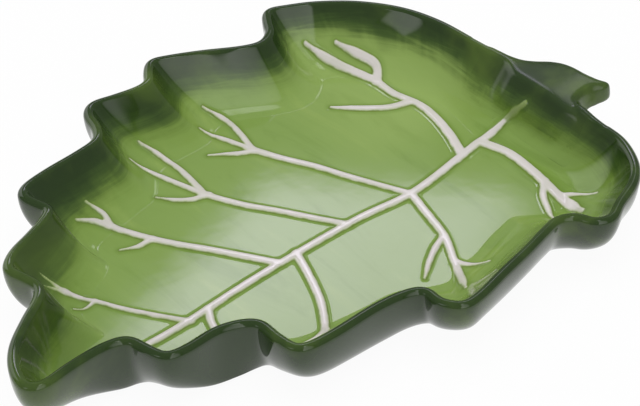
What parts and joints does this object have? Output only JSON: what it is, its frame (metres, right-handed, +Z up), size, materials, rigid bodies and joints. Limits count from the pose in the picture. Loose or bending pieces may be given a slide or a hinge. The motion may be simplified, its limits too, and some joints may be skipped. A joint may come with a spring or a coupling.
{
  "type": "leaf shaped plate",
  "caption": "Shallow glazed ceramic plate in the shape of a toothed leaf, with raised pale veins in its basin, a rounded lip, a short stem and a foot ring.",
  "frame": {"origin": "middle of the plate's footprint, at the table's height", "axes": "+X from the leaf's tip towards its stem, +Y towards the leaf's right half as seen from the stem, +Z up"},
  "size_m": [0.3, 0.2098, 0.03],
  "materials": {
    "green_glaze": "gloss",
    "dark_glaze": "gloss",
    "pale_glaze": "gloss",
    "bare_clay": "matt"
  },
  "bodies": {
    "root": {"dish_body": "green_glaze", "foot_ring": "bare_clay", "stem": "dark_glaze", "midrib": "pale_glaze", "vein_right_1": "pale_glaze", "vein_right_2": "pale_glaze", "vein_right_3": "pale_glaze", "vein_right_4": "pale_glaze", "vein_right_5": "pale_glaze", "vein_left_1": "pale_glaze", "vein_left_2": "pale_glaze", "vein_left_3": "pale_glaze", "vein_left_4": "pale_glaze"}
  },
  "joints": []
}
